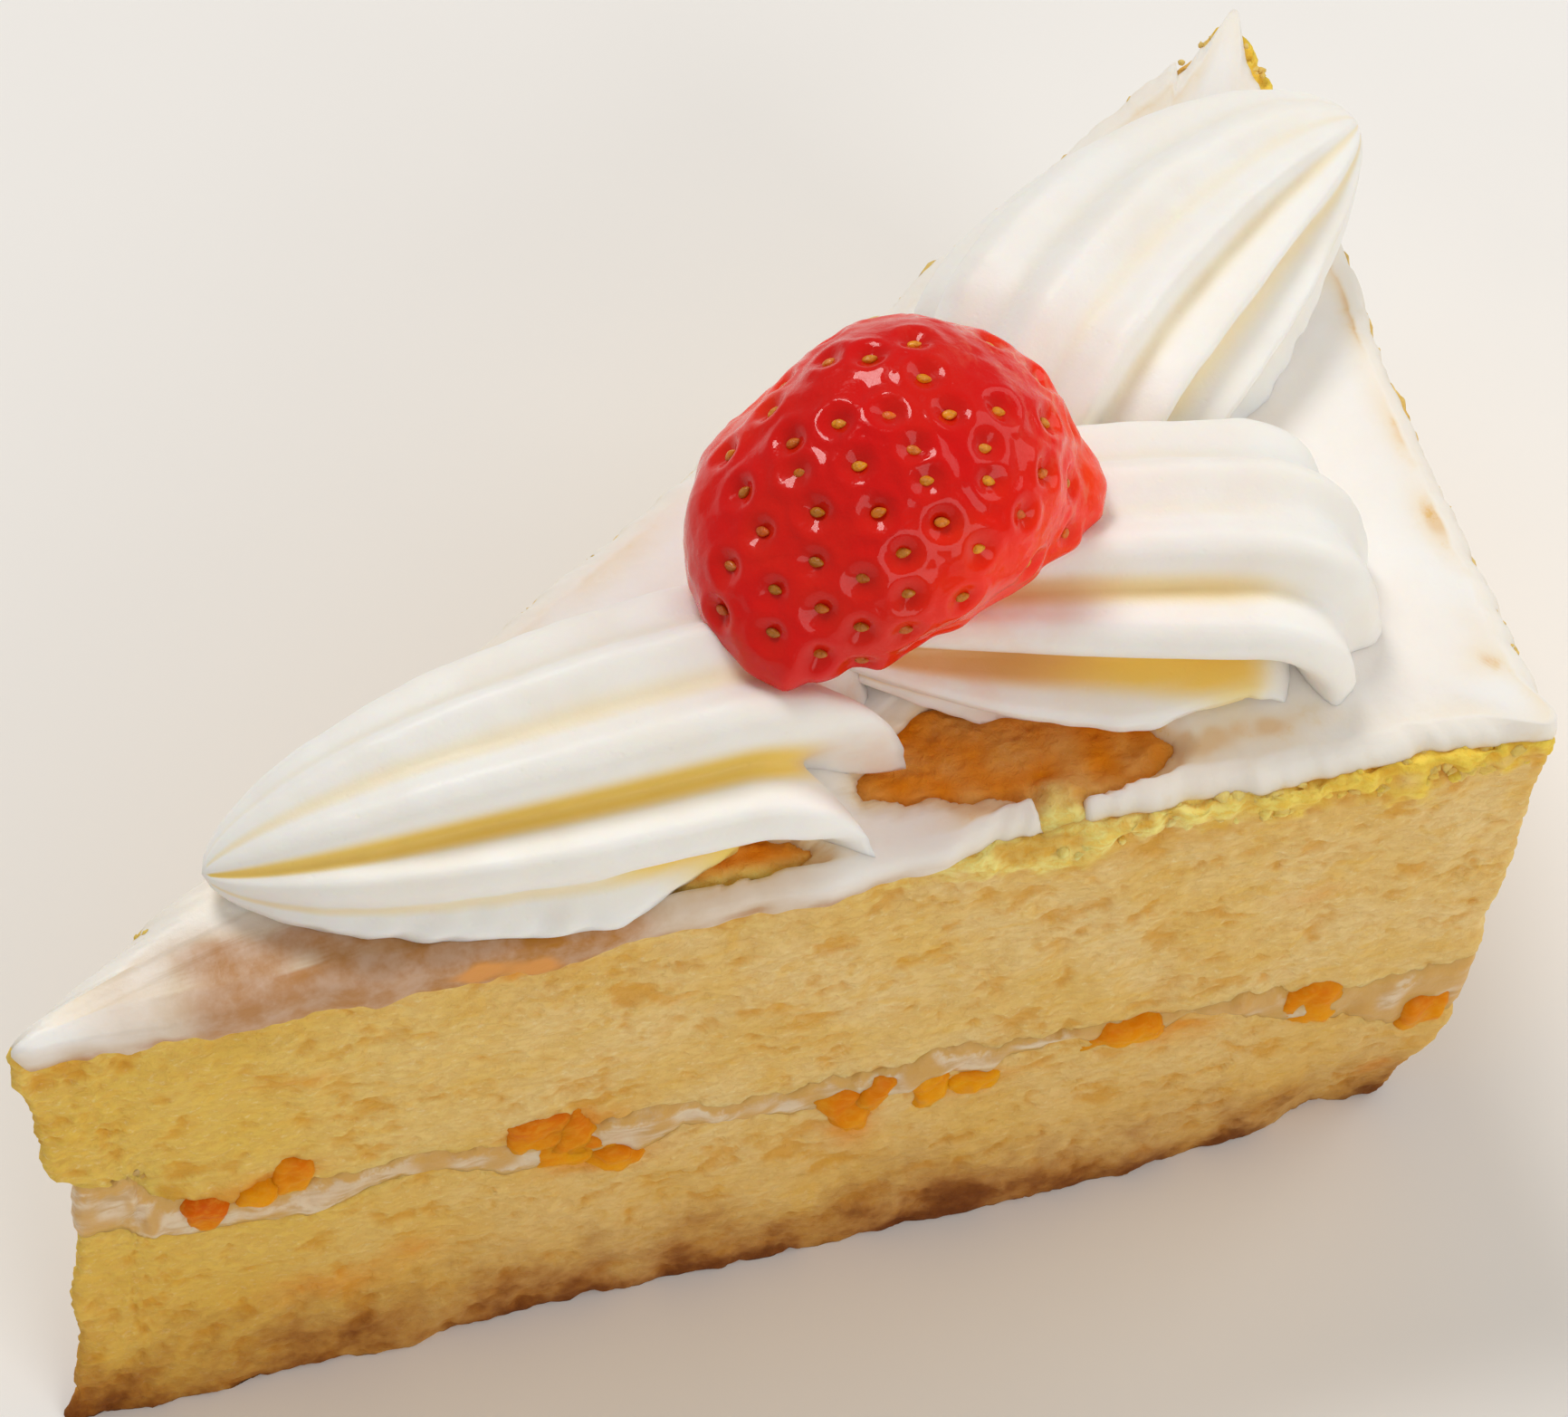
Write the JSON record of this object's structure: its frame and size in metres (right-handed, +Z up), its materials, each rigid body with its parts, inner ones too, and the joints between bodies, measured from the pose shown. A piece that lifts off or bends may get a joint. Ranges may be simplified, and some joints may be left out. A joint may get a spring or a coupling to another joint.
{
  "type": "strawberry shortcake slice",
  "caption": "Wedge of layered sponge cake with a cream and peach filling, thin icing, piped cream shells and half a strawberry on top.",
  "frame": {"origin": "middle of the bounding box at the underside, where the slice stands", "axes": "+X along the long front face from the point to the square corner, +Y from the front face to the back corner, +Z up"},
  "size_m": [0.1028, 0.0657, 0.0718],
  "materials": {
    "sponge": "open yellow crumb, matt",
    "filling": "soft cream, matt",
    "icing": "thin whipped cream, matt",
    "piped_cream": "piped whipped cream, soft sheen",
    "peach": "wet fruit, glossy",
    "strawberry": "fresh fruit, glossy, with seeds"
  },
  "bodies": {
    "root": {"sponge_bottom": "sponge", "filling_cream": "filling", "sponge_top": "sponge", "icing_top": "icing", "cream_shell_tip": "piped_cream", "cream_shell_back": "piped_cream", "cream_shell_side": "piped_cream", "strawberry_half": "strawberry", "peach_1": "peach", "peach_2": "peach", "peach_3": "peach", "peach_4": "peach", "peach_5": "peach", "peach_6": "peach", "peach_7": "peach", "peach_8": "peach", "peach_9": "peach", "peach_10": "peach", "peach_11": "peach", "peach_12": "peach", "peach_13": "peach"}
  },
  "joints": []
}
